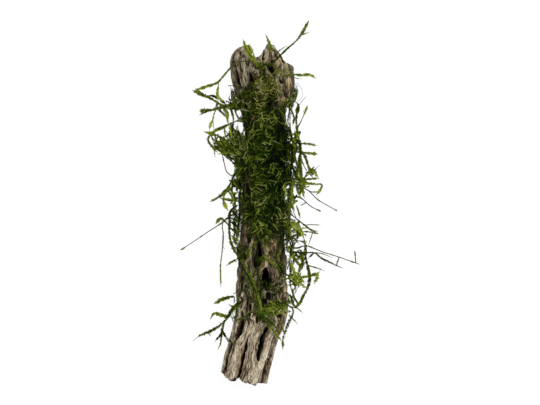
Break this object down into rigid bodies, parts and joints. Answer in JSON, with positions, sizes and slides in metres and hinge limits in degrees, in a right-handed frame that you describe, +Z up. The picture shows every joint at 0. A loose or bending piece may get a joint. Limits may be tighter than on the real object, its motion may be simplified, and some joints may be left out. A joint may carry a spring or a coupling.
{
  "type": "moss on cholla wood",
  "caption": "Java moss growing over a hollow log of cholla wood, lying on its side, for an aquarium.",
  "frame": {"origin": "on the ground that the log lies on, under the middle of the whole object's box", "axes": "+Y along the log towards its lobed end, +Z up, +X to the right when looking along +Y"},
  "size_m": [0.081, 0.1642, 0.0309],
  "materials": {
    "wood": "weathered, dry and grey-brown",
    "matted_moss": "dense damp moss",
    "fresh_moss": "leafy, slightly damp",
    "old_moss_stem": "bare wiry stem"
  },
  "bodies": {
    "root": {"cholla_log": "wood", "moss_cushion_upper_left": "matted_moss", "moss_cushion_upper_top": "matted_moss", "moss_cushion_upper_right": "matted_moss", "moss_cushion_middle_left": "matted_moss", "moss_cushion_middle_top": "matted_moss", "moss_cushion_middle_right": "matted_moss", "moss_cushion_lower_left": "matted_moss", "moss_cushion_lower_top": "matted_moss", "moss_cushion_lower_right": "matted_moss", "moss_stem_left_low_1": "fresh_moss", "moss_stem_left_low_2": "fresh_moss", "moss_stem_left_low_3": "fresh_moss", "moss_stem_left_hanging": "fresh_moss", "moss_stem_left_runner": "old_moss_stem", "moss_stem_left_mid_1": "fresh_moss", "moss_stem_left_mid_2": "fresh_moss", "moss_stem_left_arc": "old_moss_stem", "moss_stem_left_mid_5": "fresh_moss", "moss_stem_left_mid_3": "fresh_moss", "moss_stem_left_mid_4": "fresh_moss", "moss_stem_left_loop": "fresh_moss", "moss_stem_left_high_1": "fresh_moss", "moss_stem_left_high_2": "fresh_moss", "moss_stem_left_high_3": "fresh_moss", "moss_stem_left_frond": "fresh_moss", "moss_stem_left_twig": "old_moss_stem", "moss_stem_right_low_1": "fresh_moss", "moss_stem_right_low_2": "fresh_moss", "moss_stem_right_low_7": "fresh_moss", "moss_stem_right_hanging": "fresh_moss", "moss_stem_right_low_3": "fresh_moss", "moss_stem_right_low_4": "fresh_moss", "moss_stem_right_low_5": "fresh_moss", "moss_stem_right_runner": "old_moss_stem", "moss_stem_right_low_6": "fresh_moss", "moss_stem_right_arc": "fresh_moss", "moss_stem_right_mid_1": "fresh_moss", "moss_stem_right_mid_2": "fresh_moss", "moss_stem_right_mid_3": "fresh_moss", "moss_stem_right_mid_4": "old_moss_stem", "moss_stem_right_mid_5": "old_moss_stem", "moss_stem_right_mid_6": "fresh_moss", "moss_stem_right_mid_7": "fresh_moss", "moss_stem_right_high_1": "fresh_moss", "moss_stem_right_high_2": "fresh_moss", "moss_stem_right_high_3": "fresh_moss", "moss_stem_right_high_4": "fresh_moss", "moss_stem_right_frond": "fresh_moss", "moss_stem_top_runner": "fresh_moss", "moss_stem_top_centre": "fresh_moss", "moss_stem_top_left": "fresh_moss", "moss_stem_log_streak": "fresh_moss", "moss_stem_log_arc": "fresh_moss", "moss_stem_log_low_1": "fresh_moss", "moss_stem_log_low_2": "fresh_moss", "moss_stem_log_low_3": "fresh_moss"}
  },
  "joints": []
}
